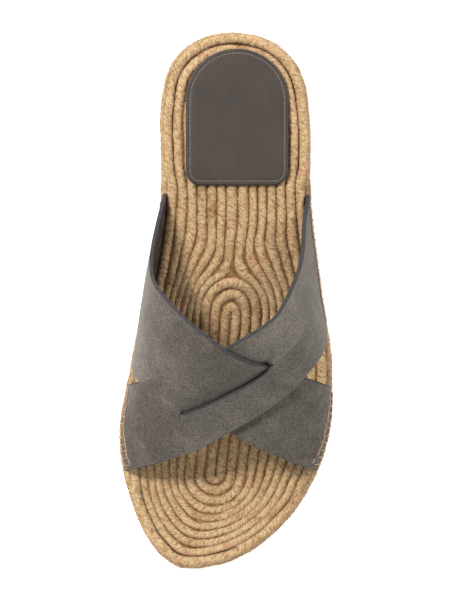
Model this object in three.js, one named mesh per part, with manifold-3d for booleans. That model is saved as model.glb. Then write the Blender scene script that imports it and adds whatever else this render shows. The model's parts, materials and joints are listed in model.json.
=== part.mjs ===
// Suede sandal for the left foot: two crossed suede bands on a coiled jute rope sole,
// with a leather heel pad and a thin rubber outsole.
// Millimetres, +Z up. The toe points to -Y and the big toe's side, the medial one, is at -X.
// A place along the shoe is a station: 0 at the back of the heel, 1 at the tip of the toe.
import * as THREE from 'three';
import { mergeVertices } from 'three/addons/utils/BufferGeometryUtils.js';
import Module from 'manifold-3d';

// Sole
const SOLE_LENGTH = 285.4;
const HEEL_WIDTH = 80;
const BALL_WIDTH = 114;
const OUTSOLE_THICKNESS = 3;
const OUTSOLE_INSET = 0.8;
const OUTSOLE_CHAMFER = 1.3;
const HEEL_ROPE_HEIGHT = 19;
const TOE_ROPE_HEIGHT = 16;
const ARCH_RISE = 1.4;
const TOE_SPRING = 6;
// Rope
const ROPE_WIDTH = 5.5;
const GROOVE_DEPTH = 1.9;
const SIDE_GROOVE = 1.1;
const TOP_ROW_INSET = 1.2;
const ROPE_BEND = 2.5;
const BAND_PRESS = 2.2;
// Heel pad
const PAD_LENGTH = 72.2;
const PAD_WIDTH = 54.4;
const PAD_THICKNESS = 1.5;
const PAD_CORNER = 7.5;
const PAD_FROM_HEEL = 9.5;
const PAD_BEVEL = 0.4;
// Bands
const SUEDE = 2.3;
const SKIVED_FOOT = 1.5;
const BAND_BASE_DROP = 0.8;
const JOIN_SKIVE = 0.1;
const INSTEP_HEIGHT = 60;
const LAP = 0.7;
const SLIT_DIVE = 12;
const SLIT_RISE = 4;
const EDGE_BLEND = 15;

const CLEARANCE = 0.3;

// Stations between which the sole widens, its rope thins, its arch rises and falls, its toe
// springs, the bands' stitching pulls the top row of rope in, and the coil's tip rounds
const STATIONS = {
  widening: [0.25, 0.65],
  thinning: [0.32, 0.66],
  archRise: [0.37, 0.49],
  archFall: [0.5, 0.62],
  spring: [0.8, 1],
  pressStart: [0.25, 0.29],
  pressEnd: [0.83, 0.87],
  coilTip: [0.456, 0.525],
};
const SPRING_CURVE = 1.8;

// Places over a rope's width, as shares of it, and whether each is up on its crest
const ROPE_SECTION = table(['part', 'crest'], [
  [0.3, true],
  [0.7, true],
  [1, false],
]);

// Half breadths of the sole, as shares of its local width, at equal turns round the outline
const OUTLINE = table(['turn', 'medial', 'lateral'], [
  [0, -0.043, 0.043],
  [15, 0.208, 0.302],
  [30, 0.382, 0.485],
  [45, 0.439, 0.551],
  [60, 0.436, 0.56],
  [75, 0.42, 0.534],
  [90, 0.419, 0.499],
  [105, 0.454, 0.497],
  [120, 0.502, 0.482],
  [135, 0.461, 0.385],
  [150, 0.384, 0.23],
  [165, 0.284, 0.04],
  [180, 0.169, -0.169],
]);

// Line on which the rope loops of both sides meet, as a share of the local width from the middle
const SPINE = table(['station', 'offset'], [
  [0.141, 0.065],
  [0.32, 0.071],
  [0.456, 0.028],
  [0.525, 0.02],
  [0.68, -0.012],
  [0.825, -0.054],
]);
const [COIL_TIP, COIL_CORE] = STATIONS.coilTip;
// Part of the way across where the slit is open, and over how much of it each end closes
const SLIT_OPEN = { from: 0.385, to: 0.65, closing: 0.02 };
// Part of the way across, from the medial foot, where the bands go over into one piece of suede
const JOINED = [0.28, 0.385];

// Sections of the last under the bands: the height is a share of the instep's height, and the
// spreads, as shares of the local width, push the wall out (or draw it in where negative)
const SECTIONS = table(['station', 'height', 'ridge', 'medialSpread', 'lateralSpread'], [
  [0.26, 1.3, -0.05, 0.06, -0.12],
  [0.36, 1.26, -0.05, 0.1, -0.1],
  [0.44, 1.18, -0.05, 0.1, -0.06],
  [0.5, 1.11, -0.05, 0.085, -0.05],
  [0.55, 1.05, -0.05, 0.06, -0.02],
  [0.587, 0.96, -0.05, 0.035, 0],
  [0.62, 0.83, -0.05, 0.02, 0],
  [0.66, 0.69, -0.05, 0.01, 0],
  [0.7, 0.565, -0.05, 0, 0],
  [0.746, 0.45, -0.05, 0, 0],
  [0.79, 0.36, -0.05, 0, 0],
  [0.84, 0.28, -0.05, 0, 0],
]);
const MEDIAL_FULLNESS = 2;
const LATERAL_FULLNESS = 1.85;

// Stations of the bands' edges and of the slit, from the medial foot (across 0) over the instep
// to the lateral foot (across 1). Band A runs from lateral back to medial front and has the slit;
// band B runs from medial back, over A, through the slit and out under A to lateral front.
const EDGES = table(['across', 'backA', 'frontA', 'slit', 'backB', 'frontB'], [
  [0, 0.657, 0.817, 0.745, 0.302, 0.612],
  [0.05, 0.656, 0.815, 0.744, 0.345, 0.622],
  [0.1, 0.654, 0.813, 0.742, 0.39, 0.635],
  [0.2, 0.646, 0.807, 0.735, 0.458, 0.659],
  [0.3, 0.634, 0.797, 0.722, 0.502, 0.684],
  [0.4, 0.617, 0.781, 0.702, 0.546, 0.709],
  [0.5, 0.592, 0.754, 0.679, 0.579, 0.733],
  [0.6, 0.559, 0.72, 0.646, 0.608, 0.763],
  [0.7, 0.524, 0.678, 0.598, 0.629, 0.788],
  [0.8, 0.468, 0.629, 0.55, 0.645, 0.804],
  [0.9, 0.4, 0.588, 0.495, 0.656, 0.812],
  [0.95, 0.348, 0.57, 0.46, 0.66, 0.814],
  [1, 0.305, 0.545, 0.425, 0.664, 0.816],
]);

const LOOPS = 7;
const COIL_LOOPS = 3;
const SIDE_ROWS = 3;
const TURNS = 72;
const ACROSS_STEPS = 36;
const BAND_STEPS = 10;

const heelY = SOLE_LENGTH / 2;
const turnOf = (station) => Math.acos(1 - 2 * station);
// Turns of the outline at which the sole is cut: even ones, and closer ones where the coil starts
const turns = (() => {
  const even = Array.from({ length: TURNS / 2 + 1 }, (_, i) => (2 * Math.PI * i) / TURNS);
  const tip = turnOf(COIL_TIP);
  const core = turnOf(COIL_CORE);
  const close = [-0.8, -0.4, 0, 0.2, 0.45, 0.75, 1].map((part) => THREE.MathUtils.lerp(tip, core, part));
  const spare = even.filter((turn) => turn < close[0] - 0.04 || turn > core + 0.04);
  const medial = [...spare, ...close].sort((a, b) => a - b);
  return [...medial, ...medial.slice(1, -1).reverse().map((turn) => 2 * Math.PI - turn)];
})();

function table(names, rows) {
  return rows.map((row) => Object.fromEntries(names.map((name, i) => [name, row[i]])));
}

// Smooth value of one column of a table, with no overshoot between its rows
function along(rows, key, column, at) {
  const last = rows.length - 1;
  if (at <= rows[0][key]) return rows[0][column];
  if (at >= rows[last][key]) return rows[last][column];
  const i = rows.findIndex((row) => row[key] > at) - 1;
  const width = (k) => rows[k + 1][key] - rows[k][key];
  const slope = (k) => (rows[k + 1][column] - rows[k][column]) / width(k);
  const tangent = (k) => {
    if (k === 0) return slope(0);
    if (k === last) return slope(last - 1);
    if (slope(k - 1) * slope(k) <= 0) return 0;
    const before = 2 * width(k) + width(k - 1);
    const after = width(k) + 2 * width(k - 1);
    return (before + after) / (before / slope(k - 1) + after / slope(k));
  };
  const t = (at - rows[i][key]) / width(i);
  return (2 * t ** 3 - 3 * t * t + 1) * rows[i][column]
    + (t ** 3 - 2 * t * t + t) * width(i) * tangent(i)
    + (3 * t * t - 2 * t ** 3) * rows[i + 1][column]
    + (t ** 3 - t * t) * width(i) * tangent(i + 1);
}

const ease = (from, to, at) => THREE.MathUtils.smoothstep(at, from, to);
const mix = THREE.MathUtils.lerp;

const stationOf = (y) => (heelY - y) / SOLE_LENGTH;
const yOf = (station) => heelY - SOLE_LENGTH * station;
const localWidth = (station) => mix(HEEL_WIDTH, BALL_WIDTH, ease(...STATIONS.widening, station));

// Outline of the sole: signed share of the local width at a turn of 0 to 2 pi, medial side first
const outlineShares = [
  ...OUTLINE.map((row) => -row.medial),
  ...OUTLINE.slice(1, -1).reverse().map((row) => row.lateral),
];

function outlineShare(turn) {
  const count = outlineShares.length;
  const place = (turn / (2 * Math.PI)) * count;
  const i = Math.floor(place);
  const t = place - i;
  const [a, b, c, d] = [-1, 0, 1, 2].map((k) => outlineShares[(i + k + count) % count]);
  return 0.5 * (2 * b + (c - a) * t + (2 * a - 5 * b + 4 * c - d) * t * t
    + (3 * b - a - 3 * c + d) * t ** 3);
}

function outlinePoint(turn) {
  const station = (1 - Math.cos(turn)) / 2;
  return new THREE.Vector2(outlineShare(turn) * localWidth(station), yOf(station));
}

function edgeX(station, side) {
  const turn = turnOf(station);
  return outlineShare(side < 0 ? turn : 2 * Math.PI - turn) * localWidth(station);
}

const spineStart = SPINE[0].station;
const spineEnd = SPINE[SPINE.length - 1].station;

function spinePoint(station, from = spineStart, to = spineEnd) {
  const at = THREE.MathUtils.clamp(station, from, to);
  return new THREE.Vector2(along(SPINE, 'station', 'offset', at) * localWidth(at), yOf(at));
}

// Side view: the underside lies flat under heel and ball, rises a little at the arch and springs
// up at the toe, and the rope is thickest under the heel
const within = ([from, to], at) => THREE.MathUtils.clamp((at - from) / (to - from), 0, 1);
const springAt = (station) => TOE_SPRING * within(STATIONS.spring, station) ** SPRING_CURVE;

function archAt(station) {
  return ARCH_RISE * ease(...STATIONS.archRise, station) * (1 - ease(...STATIONS.archFall, station));
}

const undersideAt = (station) => springAt(station) + archAt(station);
const ropeHeightAt = (station) => mix(HEEL_ROPE_HEIGHT, TOE_ROPE_HEIGHT, ease(...STATIONS.thinning, station));
const ropeBottomAt = (station) => undersideAt(station) + OUTSOLE_THICKNESS + CLEARANCE;
const footbedAt = (station) => ropeBottomAt(station) + ropeHeightAt(station);
const rowHeightAt = (station) => ropeHeightAt(station) / SIDE_ROWS;

// The bands' wall starts at the sole's edge, and its feet end above the middle row of rope
const bandBaseAt = (station) => footbedAt(station) - BAND_BASE_DROP;
const bandFootAt = (station) => ropeBottomAt(station) + 2 * rowHeightAt(station) + CLEARANCE;

function topRowInset(station) {
  const pressed = ease(...STATIONS.pressStart, station) * (1 - ease(...STATIONS.pressEnd, station));
  return TOP_ROW_INSET + BAND_PRESS * pressed;
}

function inward(turn, distance) {
  const rim = outlinePoint(turn);
  const spine = spinePoint(stationOf(rim.y));
  return rim.clone().add(spine.sub(rim).setLength(distance));
}

const edgeBand = (station) => topRowInset(station) + ROPE_WIDTH;

// How far from the spine a place in the loops lies, for its number of ropes out from the coil:
// straight down from the heel, then round the coil's rounded tip at its own distance from it
function coilOffset(station, ropes) {
  const radius = COIL_LOOPS * ROPE_WIDTH;
  const straight = ropes * ROPE_WIDTH;
  const back = radius * Math.max((COIL_CORE - station) / (COIL_CORE - COIL_TIP), 0);
  const round = Math.sqrt(Math.max((radius + straight) ** 2 - back ** 2, 0));
  const softness = Math.min(ROPE_BEND, straight / 2);
  return (straight + round + Math.hypot(straight - round, 2 * softness)) / 2;
}

// Place in the loops at a turn; at 0 ropes out it is on the coil's rim, or on the spine behind it
function loopPoint(turn, ropes) {
  const station = stationOf(outlinePoint(turn).y);
  const spine = spinePoint(station);
  const reach = inward(turn, edgeBand(station)).sub(spine);
  const coil = coilOffset(station, 0);
  const out = (coilOffset(station, ropes) - coil) / (coilOffset(station, LOOPS - 1) - coil);
  return spine.add(reach.setLength(mix(coil, reach.length(), out)));
}

function closedGeometry({ positions, indices }) {
  const geometry = new THREE.BufferGeometry();
  geometry.setAttribute('position', new THREE.Float32BufferAttribute(positions, 3));
  geometry.setIndex(indices);
  const merged = mergeVertices(geometry, 1e-4);
  const kept = [];
  const order = merged.index.array;
  for (let i = 0; i < order.length; i += 3) {
    const [a, b, c] = [order[i], order[i + 1], order[i + 2]];
    if (a !== b && b !== c && c !== a) kept.push(a, b, c);
  }
  merged.setIndex(kept);
  return merged;
}

// Skin of quads over a grid of points; rows wrap round where closed is true
function gridSkin(rows, closed, skin = { positions: [], indices: [] }) {
  const { positions, indices } = skin;
  const width = rows[0].length;
  const first = positions.length / 3;
  rows.flat().forEach((point) => positions.push(point.x, point.y, point.z));
  const columns = closed ? width : width - 1;
  for (let r = 0; r + 1 < rows.length; r += 1) {
    for (let c = 0; c < columns; c += 1) {
      const next = (c + 1) % width;
      const corners = [r * width + c, r * width + next, (r + 1) * width + next, (r + 1) * width + c];
      const [p, q, s, t] = corners.map((corner) => first + corner);
      indices.push(p, q, s, p, s, t);
    }
  }
  return skin;
}

const onRope = (point, heightAt) => new THREE.Vector3(point.x, point.y, heightAt(stationOf(point.y)));

// A ring round the sole: a point for each turn, at a distance in from the outline and a height
function ring(distanceAt, heightAt) {
  return turns.map((turn) => {
    const station = stationOf(outlinePoint(turn).y);
    return onRope(inward(turn, distanceAt(station)), heightAt);
  });
}

function spineRing(heightAt) {
  return turns.map((turn) => onRope(spinePoint(stationOf(outlinePoint(turn).y)), heightAt));
}

function outsole() {
  const topAt = (station) => undersideAt(station) + OUTSOLE_THICKNESS;
  const rows = [
    spineRing(undersideAt),
    ring(() => OUTSOLE_INSET + OUTSOLE_CHAMFER, undersideAt),
    ring(() => OUTSOLE_INSET, (station) => undersideAt(station) + OUTSOLE_CHAMFER),
    ring(() => OUTSOLE_INSET, topAt),
    spineRing(topAt),
  ];
  return closedGeometry(gridSkin(rows, true));
}

// The rope sole: rows of rope up its side, loops of rope over its top, and the coil inside them
function ropeSole() {
  const crestAt = footbedAt;
  const grooveAt = (station) => footbedAt(station) - GROOVE_DEPTH;
  const rows = [spineRing(ropeBottomAt)];
  [() => SIDE_GROOVE, () => 0, topRowInset].forEach((insetAt, i) => {
    const levelAt = (part) => (station) => ropeBottomAt(station) + (i + part) * rowHeightAt(station);
    rows.push(ring((station) => insetAt(station) + SIDE_GROOVE, levelAt(0)));
    rows.push(ring(insetAt, levelAt(0.5)));
  });
  ROPE_SECTION.forEach(({ part, crest }) => {
    rows.push(ring((station) => topRowInset(station) + part * ROPE_WIDTH, crest ? crestAt : grooveAt));
  });
  for (let loop = 1; loop < LOOPS; loop += 1) {
    ROPE_SECTION.forEach(({ part, crest }) => {
      const ropesOut = LOOPS - loop - part;
      rows.push(turns.map((turn) => onRope(loopPoint(turn, ropesOut), crest ? crestAt : grooveAt)));
    });
  }
  const skin = gridSkin(rows, true);
  const tip = turnOf(COIL_TIP);
  const coilTurns = turns.filter((turn) => turn >= tip && turn <= 2 * Math.PI - tip);
  const coilRing = (share, heightAt) => coilTurns.map((turn) => {
    const rim = loopPoint(turn, 0);
    const core = spinePoint(stationOf(rim.y), COIL_CORE, spineEnd);
    return onRope(rim.lerp(core, share), heightAt);
  });
  const coilRows = [coilRing(0, grooveAt)];
  for (let loop = 0; loop < COIL_LOOPS; loop += 1) {
    ROPE_SECTION.forEach(({ part, crest }) => {
      coilRows.push(coilRing((loop + part) / COIL_LOOPS, crest ? crestAt : grooveAt));
    });
  }
  gridSkin(coilRows, false, skin);
  return closedGeometry(skin);
}

// The pad: round at the back, square at the front with rounded corners
function heelPad() {
  const half = PAD_WIDTH / 2 - PAD_BEVEL;
  const corner = PAD_CORNER - PAD_BEVEL;
  const back = PAD_LENGTH / 2 - PAD_BEVEL;
  const shape = new THREE.Shape();
  shape.moveTo(-half + corner, -back);
  shape.lineTo(half - corner, -back);
  shape.absarc(half - corner, -back + corner, corner, -Math.PI / 2, 0);
  shape.absarc(0, back - half, half, 0, Math.PI);
  shape.absarc(-half + corner, -back + corner, corner, Math.PI, 1.5 * Math.PI);
  const geometry = new THREE.ExtrudeGeometry(shape, {
    depth: PAD_THICKNESS - PAD_BEVEL,
    curveSegments: 9,
    bevelThickness: PAD_BEVEL,
    bevelSize: PAD_BEVEL,
    bevelSegments: 1,
  });
  return geometry;
}

// Point of the last's surface at a station and across: the middle of the bands' wall
function sectionPoint(station, across) {
  const inset = topRowInset(station) - CLEARANCE - SUEDE / 2;
  const width = localWidth(station);
  const at = (column) => along(SECTIONS, 'station', column, station);
  const ridge = at('ridge') * width;
  const medial = ridge - (edgeX(station, -1) + inset);
  const lateral = edgeX(station, 1) - inset - ridge;
  const angle = Math.PI * across;
  const spreading = width * Math.sin(2 * angle);
  const sine = Math.max(Math.sin(angle), 0);
  const cosine = Math.cos(angle);
  const onMedial = cosine > 0;
  const power = 2 / (onMedial ? MEDIAL_FULLNESS : LATERAL_FULLNESS);
  const reach = onMedial
    ? -(medial + at('medialSpread') * spreading)
    : lateral - at('lateralSpread') * spreading;
  return new THREE.Vector3(
    ridge + reach * Math.abs(cosine) ** power,
    yOf(station),
    bandBaseAt(station) + INSTEP_HEIGHT * at('height') * sine ** power,
  );
}

function sectionNormal(station, across) {
  const step = 0.002;
  const from = Math.max(across - step, 0);
  const to = Math.min(across + step, 1);
  const sideways = sectionPoint(station, to).sub(sectionPoint(station, from));
  const forward = sectionPoint(station + step, across).sub(sectionPoint(station - step, across));
  return forward.cross(sideways).normalize();
}

// Both faces of a band's wall at a place, with the wall lifted by its level and skived on each face
function wallAt(station, across, level, skive) {
  const middle = sectionPoint(station, across);
  const normal = sectionNormal(station, across);
  const inner = middle.clone().addScaledVector(normal, level - SUEDE / 2 + skive);
  return { inner, outer: inner.clone().addScaledVector(normal, SUEDE - 2 * skive) };
}

// The foot under the last's edge: the wall goes straight down the sole's side, and is thinner there
function footAt(station, side, part, skive) {
  const { inner } = wallAt(station, side < 0 ? 0 : 1, 0, skive);
  inner.z = mix(inner.z, bandFootAt(station), part);
  const thickness = mix(SUEDE - 2 * skive, SKIVED_FOOT, part);
  return { inner, outer: new THREE.Vector3(inner.x + side * thickness, inner.y, inner.z) };
}

// Places across the bands at which they are cut: even ones and the ends of the slit
const places = (() => {
  const { from, to, closing } = SLIT_OPEN;
  const ends = [from - closing, from, to, to + closing];
  const even = Array.from({ length: ACROSS_STEPS + 1 }, (_, i) => i / ACROSS_STEPS);
  const spare = even.filter((place) => ends.every((end) => Math.abs(place - end) > 0.01));
  return [...spare, ...ends].sort((a, b) => a - b);
})();

const unskived = () => 0;

// Rows of a band's wall between two edges, each a station for a place across, from foot to foot
function bandRows(backAt, frontAt, levelAt, steps, skiveAt = unskived) {
  return Array.from({ length: steps + 1 }, (_, step) => {
    const stationAt = (across) => mix(backAt(across), frontAt(across), step / steps);
    const feet = (side, parts) => parts.map((part) => {
      const across = side < 0 ? 0 : 1;
      return footAt(stationAt(across), side, part, skiveAt(across));
    });
    const wall = places.map((across) => {
      const station = stationAt(across);
      return wallAt(station, across, levelAt(station, across), skiveAt(across));
    });
    return [...feet(-1, [1, 0.5]), ...wall, ...feet(1, [0.5, 1])];
  });
}

const outerOf = (row) => row.map((place) => place.outer);
const innerOf = (row) => row.map((place) => place.inner);

function bandSkin(rows, skin) {
  return gridSkin(rows.map((row) => [...innerOf(row), ...outerOf(row).reverse()]), true, skin);
}

// The cut edges of a band, towards the heel and towards the toe
function backEdge(row, skin) {
  gridSkin([outerOf(row), innerOf(row)], false, skin);
}

function frontEdge(row, skin) {
  gridSkin([innerOf(row), outerOf(row)], false, skin);
}

const edgeAt = (column) => (across) => along(EDGES, 'across', column, across);

// How open the slit is at a place across
function slitGate(across) {
  const { from, to, closing } = SLIT_OPEN;
  return ease(from - closing, from, across) * (1 - ease(to, to + closing, across));
}

// Level of band B, in walls: on top of band A behind the slit and under it in front of the slit
function crossingAt(station, across) {
  const behind = (edgeAt('slit')(across) - station) * SOLE_LENGTH;
  return mix(-LAP, LAP, ease(-SLIT_RISE, SLIT_DIVE, behind));
}

// Band A behind the slit dips under band B, and in front of the slit it rises over it
function levelBehindSlit(station, across) {
  return SUEDE * slitGate(across) * Math.min(0, crossingAt(station, across) - LAP);
}

function levelBeforeSlit(station, across) {
  return SUEDE * slitGate(across) * Math.max(0, crossingAt(station, across) + LAP);
}

// Band B comes back to the last's surface where it leaves band A, and at its feet
function levelOfB(station, across) {
  const pastBack = (edgeAt('backA')(across) - station) * SOLE_LENGTH;
  const pastFront = (station - edgeAt('frontA')(across)) * SOLE_LENGTH;
  const crossed = (1 - ease(0, EDGE_BLEND, pastBack)) * (1 - ease(0, EDGE_BLEND, pastFront));
  const fromFoot = Math.min(across, 1 - across);
  return SUEDE * crossingAt(station, across) * crossed * ease(...JOINED, across) * ease(0, 0.06, fromFoot);
}

// Where the bands are one piece, band B lies just inside band A's wall
const skiveOfB = (across) => JOIN_SKIVE * (1 - ease(...JOINED, across));

const wasm = await Module();
wasm.setup();

function solidOf(geometry) {
  return new wasm.Manifold(new wasm.Mesh({
    numProp: 3,
    vertProperties: geometry.attributes.position.array,
    triVerts: new Uint32Array(geometry.index.array),
  }));
}

function geometryOf(solid) {
  const { vertProperties, triVerts } = solid.getMesh();
  const geometry = new THREE.BufferGeometry();
  geometry.setAttribute('position', new THREE.BufferAttribute(vertProperties, 3));
  geometry.setIndex(new THREE.BufferAttribute(triVerts, 1));
  return geometry;
}

// Band A: its two parts are one wall, except where the slit is open and each has a cut edge
function slitBand() {
  const slit = edgeAt('slit');
  const behind = bandRows(edgeAt('backA'), slit, levelBehindSlit, BAND_STEPS / 2);
  const before = bandRows(slit, edgeAt('frontA'), levelBeforeSlit, BAND_STEPS / 2);
  const skin = bandSkin(before, bandSkin(behind));
  backEdge(behind[0], skin);
  frontEdge(before[before.length - 1], skin);
  const { from, to, closing } = SLIT_OPEN;
  const footColumns = 2;
  const open = [from - closing, to + closing].map((place) => places.indexOf(place) + footColumns);
  const atSlit = (row) => row.slice(open[0], open[1] + 1);
  frontEdge(atSlit(behind[behind.length - 1]), skin);
  backEdge(atSlit(before[0]), skin);
  return closedGeometry(skin);
}

function crossingBand() {
  const rows = bandRows(edgeAt('backB'), edgeAt('frontB'), levelOfB, BAND_STEPS, skiveOfB);
  const skin = bandSkin(rows);
  backEdge(rows[0], skin);
  frontEdge(rows[rows.length - 1], skin);
  return closedGeometry(skin);
}

// The upper: both bands in one wall, joined where they cross
function upper() {
  return geometryOf(solidOf(slitBand()).add(solidOf(crossingBand())));
}

function piece(name, geometry, color, roughness) {
  const material = new THREE.MeshStandardMaterial({ color, roughness, metalness: 0 });
  const mesh = new THREE.Mesh(geometry, material);
  mesh.name = name;
  return mesh;
}

const sandal = new THREE.Group();
const pad = piece('heel_pad', heelPad(), 0x5a524c, 0.5);
const padStation = (PAD_FROM_HEEL + PAD_LENGTH / 2) / SOLE_LENGTH;
const padMiddle = spinePoint(padStation);
pad.position.set(padMiddle.x, yOf(padStation), footbedAt(padStation) + CLEARANCE + PAD_BEVEL);
sandal.add(
  piece('outsole', outsole(), 0x6b5a45, 0.8),
  piece('rope_sole', ropeSole(), 0xc0a47f, 0.9),
  pad,
  piece('upper', upper(), 0x706a61, 0.95),
);

// The origin is on the ground under the middle of the sandal
const bounds = new THREE.Box3().setFromObject(sandal);
const middle = bounds.getCenter(new THREE.Vector3());
sandal.position.set(-middle.x, -middle.y, -bounds.min.z);

export default sandal;
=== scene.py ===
# Suede sandal for the left foot, dressed for its picture: twisted jute ropes, suede bands
# with painted edges, a stitched leather heel pad and a crepe rubber outsole.
# Lengths are in millimetres until a mesh is made. A station runs from the heel, 0, to the toe, 1.
import json
import math
import bpy
import numpy as np
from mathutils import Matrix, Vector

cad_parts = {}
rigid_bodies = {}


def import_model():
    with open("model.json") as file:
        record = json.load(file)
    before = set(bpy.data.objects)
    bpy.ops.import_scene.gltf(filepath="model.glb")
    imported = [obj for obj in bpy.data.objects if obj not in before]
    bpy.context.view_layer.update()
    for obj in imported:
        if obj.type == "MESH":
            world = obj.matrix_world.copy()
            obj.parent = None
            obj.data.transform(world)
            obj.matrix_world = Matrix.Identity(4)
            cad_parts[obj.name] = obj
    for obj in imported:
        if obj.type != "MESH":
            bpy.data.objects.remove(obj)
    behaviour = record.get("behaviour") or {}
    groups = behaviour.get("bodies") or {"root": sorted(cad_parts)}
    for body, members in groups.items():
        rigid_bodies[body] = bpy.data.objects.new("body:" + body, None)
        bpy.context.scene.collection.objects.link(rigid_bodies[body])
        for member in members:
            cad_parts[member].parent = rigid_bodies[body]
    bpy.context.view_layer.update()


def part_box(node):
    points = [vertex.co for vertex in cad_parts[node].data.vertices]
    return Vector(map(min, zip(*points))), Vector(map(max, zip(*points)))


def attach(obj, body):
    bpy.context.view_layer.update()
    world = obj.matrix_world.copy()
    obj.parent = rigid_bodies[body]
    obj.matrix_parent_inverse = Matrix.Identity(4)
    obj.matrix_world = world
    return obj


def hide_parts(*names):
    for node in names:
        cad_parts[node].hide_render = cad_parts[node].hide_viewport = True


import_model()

MM = 0.001
TAU = 2 * math.pi

# The last and the sole

SOLE_LENGTH = 285.4
HEEL_WIDTH = 80.0
BALL_WIDTH = 114.0
OUTSOLE_THICKNESS = 3.0
HEEL_ROPE_HEIGHT = 19.0
TOE_ROPE_HEIGHT = 16.0
ARCH_RISE = 1.4
TOE_SPRING = 6.0
SPRING_START = 0.8
SPRING_CURVE = 1.8
# Stations between which the sole widens, the rope thins, and the arch rises and falls
WIDENING = (0.25, 0.65)
THINNING = (0.32, 0.66)
ARCH_RISES, ARCH_FALLS = (0.37, 0.49), (0.5, 0.62)
# Stations over which the bands begin and cease to press the top rope in
PRESS_BEGINS, PRESS_CEASES = (0.25, 0.29), (0.83, 0.87)
ROPE_WIDTH = 5.5
SIDE_GROOVE = 1.1
TOP_ROW_INSET = 1.2
ROPE_BEND = 2.5
BAND_PRESS = 2.2
LOOPS = 7
COIL_LOOPS = 3
SIDE_ROWS = 3
COIL_TIP = 0.456
COIL_CORE = 0.525
CLEARANCE = 0.3

MEDIAL_SHARES = [
    -0.043, 0.208, 0.382, 0.439, 0.436, 0.42, 0.419, 0.454, 0.502, 0.461, 0.384, 0.284, 0.169,
]
LATERAL_SHARES = [
    0.302, 0.485, 0.551, 0.56, 0.534, 0.499, 0.497, 0.482, 0.385, 0.23, 0.04,
]
OUTLINE = np.array([-share for share in MEDIAL_SHARES] + LATERAL_SHARES[::-1])
SPINE = np.array([
    [0.141, 0.065], [0.32, 0.071], [0.456, 0.028], [0.525, 0.02], [0.68, -0.012], [0.825, -0.054],
])

# Columns: station, height, medial spread, lateral spread
SECTIONS = np.array([
    [0.26, 1.3, 0.06, -0.12],
    [0.36, 1.26, 0.1, -0.1],
    [0.44, 1.18, 0.1, -0.06],
    [0.5, 1.11, 0.085, -0.05],
    [0.55, 1.05, 0.06, -0.02],
    [0.587, 0.96, 0.035, 0],
    [0.62, 0.83, 0.02, 0],
    [0.66, 0.69, 0.01, 0],
    [0.7, 0.565, 0, 0],
    [0.746, 0.45, 0, 0],
    [0.79, 0.36, 0, 0],
    [0.84, 0.28, 0, 0],
])
RIDGE = -0.05
MEDIAL_FULLNESS = 2.0
LATERAL_FULLNESS = 1.85
INSTEP_HEIGHT = 60.0
SUEDE = 2.3
SKIVED_FOOT = 1.5
BAND_BASE_DROP = 0.8
SLIT_DIVE = 12.0
SLIT_RISE = 4.0
EDGE_BLEND = 15.0
SLIT_FROM, SLIT_TO, SLIT_CLOSING = 0.385, 0.65, 0.02
# Where across the foot the two bands become one piece of suede, towards the big toe's side
JOIN = (0.28, 0.385)
# Where the back edge of A meets the front edge of B, at the big toe's side
NOTCH = 0.16
LAP = 1.03

# Columns: across, back edge of A, front edge of A, slit, back edge of B, front edge of B
EDGES = np.array([
    [0, 0.657, 0.817, 0.745, 0.302, 0.612],
    [0.05, 0.656, 0.815, 0.744, 0.345, 0.622],
    [0.1, 0.654, 0.813, 0.742, 0.39, 0.635],
    [0.2, 0.646, 0.807, 0.735, 0.458, 0.659],
    [0.3, 0.634, 0.797, 0.722, 0.502, 0.684],
    [0.4, 0.617, 0.781, 0.702, 0.546, 0.709],
    [0.5, 0.592, 0.754, 0.679, 0.579, 0.733],
    [0.6, 0.559, 0.72, 0.646, 0.608, 0.763],
    [0.7, 0.524, 0.678, 0.598, 0.629, 0.788],
    [0.8, 0.468, 0.629, 0.55, 0.645, 0.804],
    [0.9, 0.4, 0.588, 0.495, 0.656, 0.812],
    [0.95, 0.348, 0.57, 0.46, 0.66, 0.814],
    [1, 0.305, 0.545, 0.425, 0.664, 0.816],
])
BACK_A, FRONT_A, SLIT, BACK_B, FRONT_B = range(1, 6)


def along(table, column, at):
    """Smooth value of one column of a table, with no overshoot between its rows."""
    xs, ys = table[:, 0], table[:, column]
    width = np.diff(xs)
    slope = np.diff(ys) / width
    tangent = np.zeros(len(xs))
    tangent[0], tangent[-1] = slope[0], slope[-1]
    for k in range(1, len(xs) - 1):
        if slope[k - 1] * slope[k] > 0:
            before = 2 * width[k] + width[k - 1]
            after = width[k] + 2 * width[k - 1]
            tangent[k] = (before + after) / (before / slope[k - 1] + after / slope[k])
    at = np.clip(np.asarray(at, float), xs[0], xs[-1])
    i = np.clip(np.searchsorted(xs, at, side="right") - 1, 0, len(width) - 1)
    t = (at - xs[i]) / width[i]
    return ((2 * t**3 - 3 * t**2 + 1) * ys[i] + (t**3 - 2 * t**2 + t) * width[i] * tangent[i]
            + (3 * t**2 - 2 * t**3) * ys[i + 1] + (t**3 - t**2) * width[i] * tangent[i + 1])


def ease(start, end, at):
    t = np.clip((np.asarray(at, float) - start) / (end - start), 0, 1)
    return t * t * (3 - 2 * t)


def mix(a, b, t):
    return a + (b - a) * t


def y_of(station):
    return SOLE_LENGTH * (0.5 - np.asarray(station, float))


def local_width(station):
    return mix(HEEL_WIDTH, BALL_WIDTH, ease(*WIDENING, station))


def outline_share(turn):
    place = np.asarray(turn, float) / TAU * len(OUTLINE)
    i = np.floor(place).astype(int)
    t = place - i
    a, b, c, d = (OUTLINE[(i + k) % len(OUTLINE)] for k in (-1, 0, 1, 2))
    return 0.5 * (2 * b + (c - a) * t + (2 * a - 5 * b + 4 * c - d) * t**2
                  + (3 * b - a - 3 * c + d) * t**3)


def station_of_turn(turn):
    return (1 - np.cos(turn)) / 2


def outline_point(turn):
    station = station_of_turn(turn)
    return np.stack([outline_share(turn) * local_width(station), y_of(station)], -1)


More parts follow.
